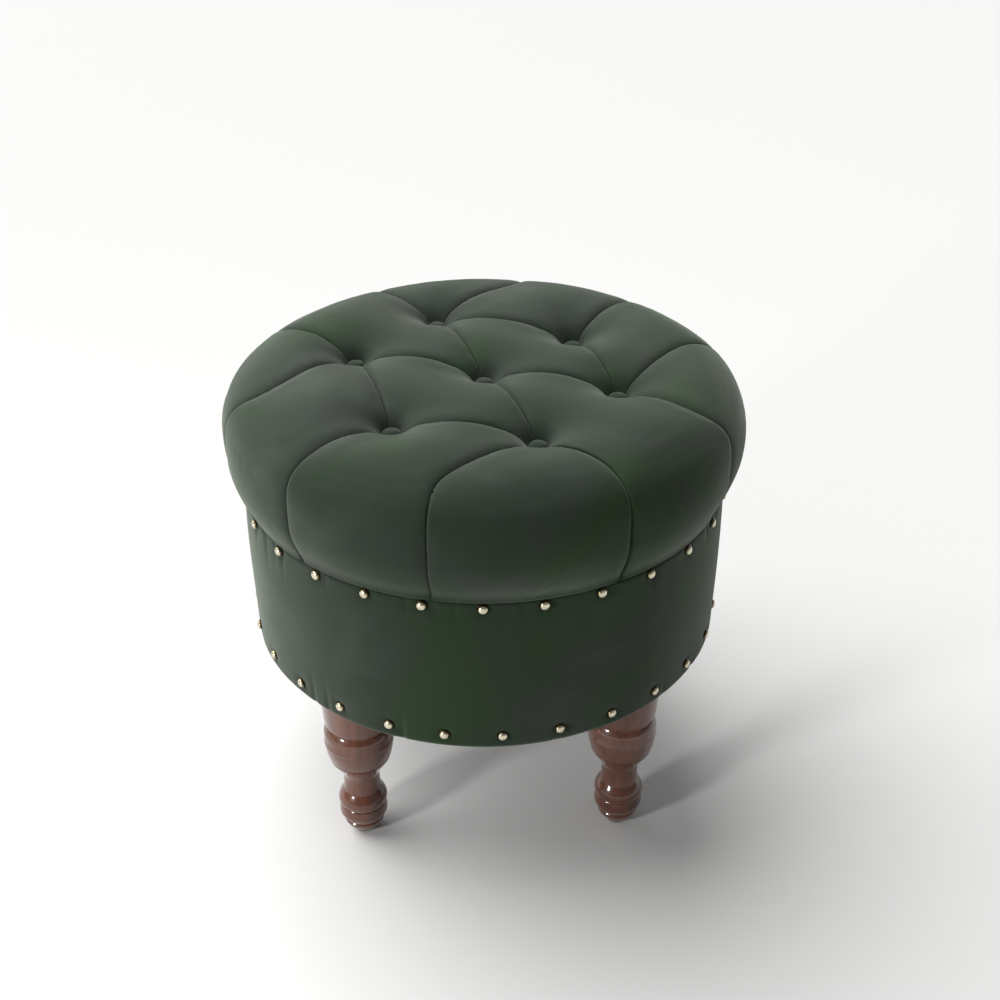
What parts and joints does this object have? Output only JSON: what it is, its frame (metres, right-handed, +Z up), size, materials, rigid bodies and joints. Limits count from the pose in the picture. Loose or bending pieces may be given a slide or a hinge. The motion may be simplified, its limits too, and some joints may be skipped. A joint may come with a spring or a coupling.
{
  "type": "round storage ottoman",
  "caption": "Round velvet storage ottoman with turned wooden legs, domed nail trim and a hinged, button-tufted lid that a folding stay holds open.",
  "frame": {"origin": "on the floor, at the centre under the drum's axis", "axes": "+Z up; -Y is the front, where the lid lifts; +Y is the back, where the hinges are; the legs stand on the diagonals"},
  "size_m": [0.494, 0.494, 0.461],
  "materials": {
    "velvet": "matte",
    "plywood": "matte",
    "wadding": "matte",
    "foam": "matte",
    "liner_cloth": "matte",
    "underside_cloth": "matte",
    "staple_steel": "satin",
    "nail_metal": "gloss",
    "mahogany": "gloss",
    "zinc_steel": "satin",
    "felt": "matte",
    "twine": "matte"
  },
  "bodies": {
    "base": {"drum_cover": "velvet", "floor_board": "plywood", "drum_shell": "plywood", "top_ring": "plywood", "wall_wadding": "wadding", "inner_lining": "liner_cloth", "floor_pad": "liner_cloth", "underside_cloth": "underside_cloth", "underside_staples": "staple_steel", "upper_nails": "nail_metal", "lower_nails": "nail_metal", "leg_front_left": "mahogany", "leg_front_right": "mahogany", "leg_back_right": "mahogany", "leg_back_left": "mahogany", "leg_bolts": "zinc_steel", "tee_nuts": "zinc_steel", "hinge_drum_leaves": "zinc_steel", "hinge_pins": "zinc_steel", "hinge_drum_screws": "zinc_steel", "stay_drum_bracket": "zinc_steel", "stay_drum_screws": "zinc_steel", "stay_drum_rivet": "zinc_steel", "foot_glides": "felt"},
    "lid": {"hinge_lid_leaves": "zinc_steel", "hinge_lid_screws": "zinc_steel", "stay_lid_bracket": "zinc_steel", "stay_lid_screws": "zinc_steel", "stay_lid_rivet": "zinc_steel", "lid_board": "plywood", "lid_foam": "foam", "lid_wadding": "wadding", "lid_cover": "velvet", "lid_lining": "liner_cloth", "lid_staples": "staple_steel", "button_1": "velvet", "button_2": "velvet", "button_3": "velvet", "button_4": "velvet", "button_5": "velvet", "button_6": "velvet", "button_7": "velvet", "button_twines": "twine", "button_anchors": "zinc_steel"},
    "stay_lower": {"stay_lower_arm": "zinc_steel", "stay_elbow_rivet": "zinc_steel"},
    "stay_upper": {"stay_upper_arm": "zinc_steel"}
  },
  "joints": [
    {"name": "lid_hinge", "type": "hinge", "parent": "base", "child": "lid", "pos_m": [0, 0.2375, 0.352], "axis": [-1, 0, 0], "range_deg": [0, 95]},
    {"name": "stay_lower_pivot", "type": "hinge", "parent": "base", "child": "stay_lower", "pos_m": [0.0827, 0.1638, 0.3004], "axis": [-1, 0, 0], "range_deg": [0, 95]},
    {"name": "stay_upper_pivot", "type": "hinge", "parent": "lid", "child": "stay_upper", "pos_m": [0.0804, 0.1485, 0.34], "axis": [1, 0, 0], "range_deg": [0, 95]}
  ],
  "couplings": [
    {"joint": "stay_lower_pivot", "follows": "lid_hinge", "ratio": 1},
    {"joint": "stay_upper_pivot", "follows": "lid_hinge", "ratio": 1}
  ]
}
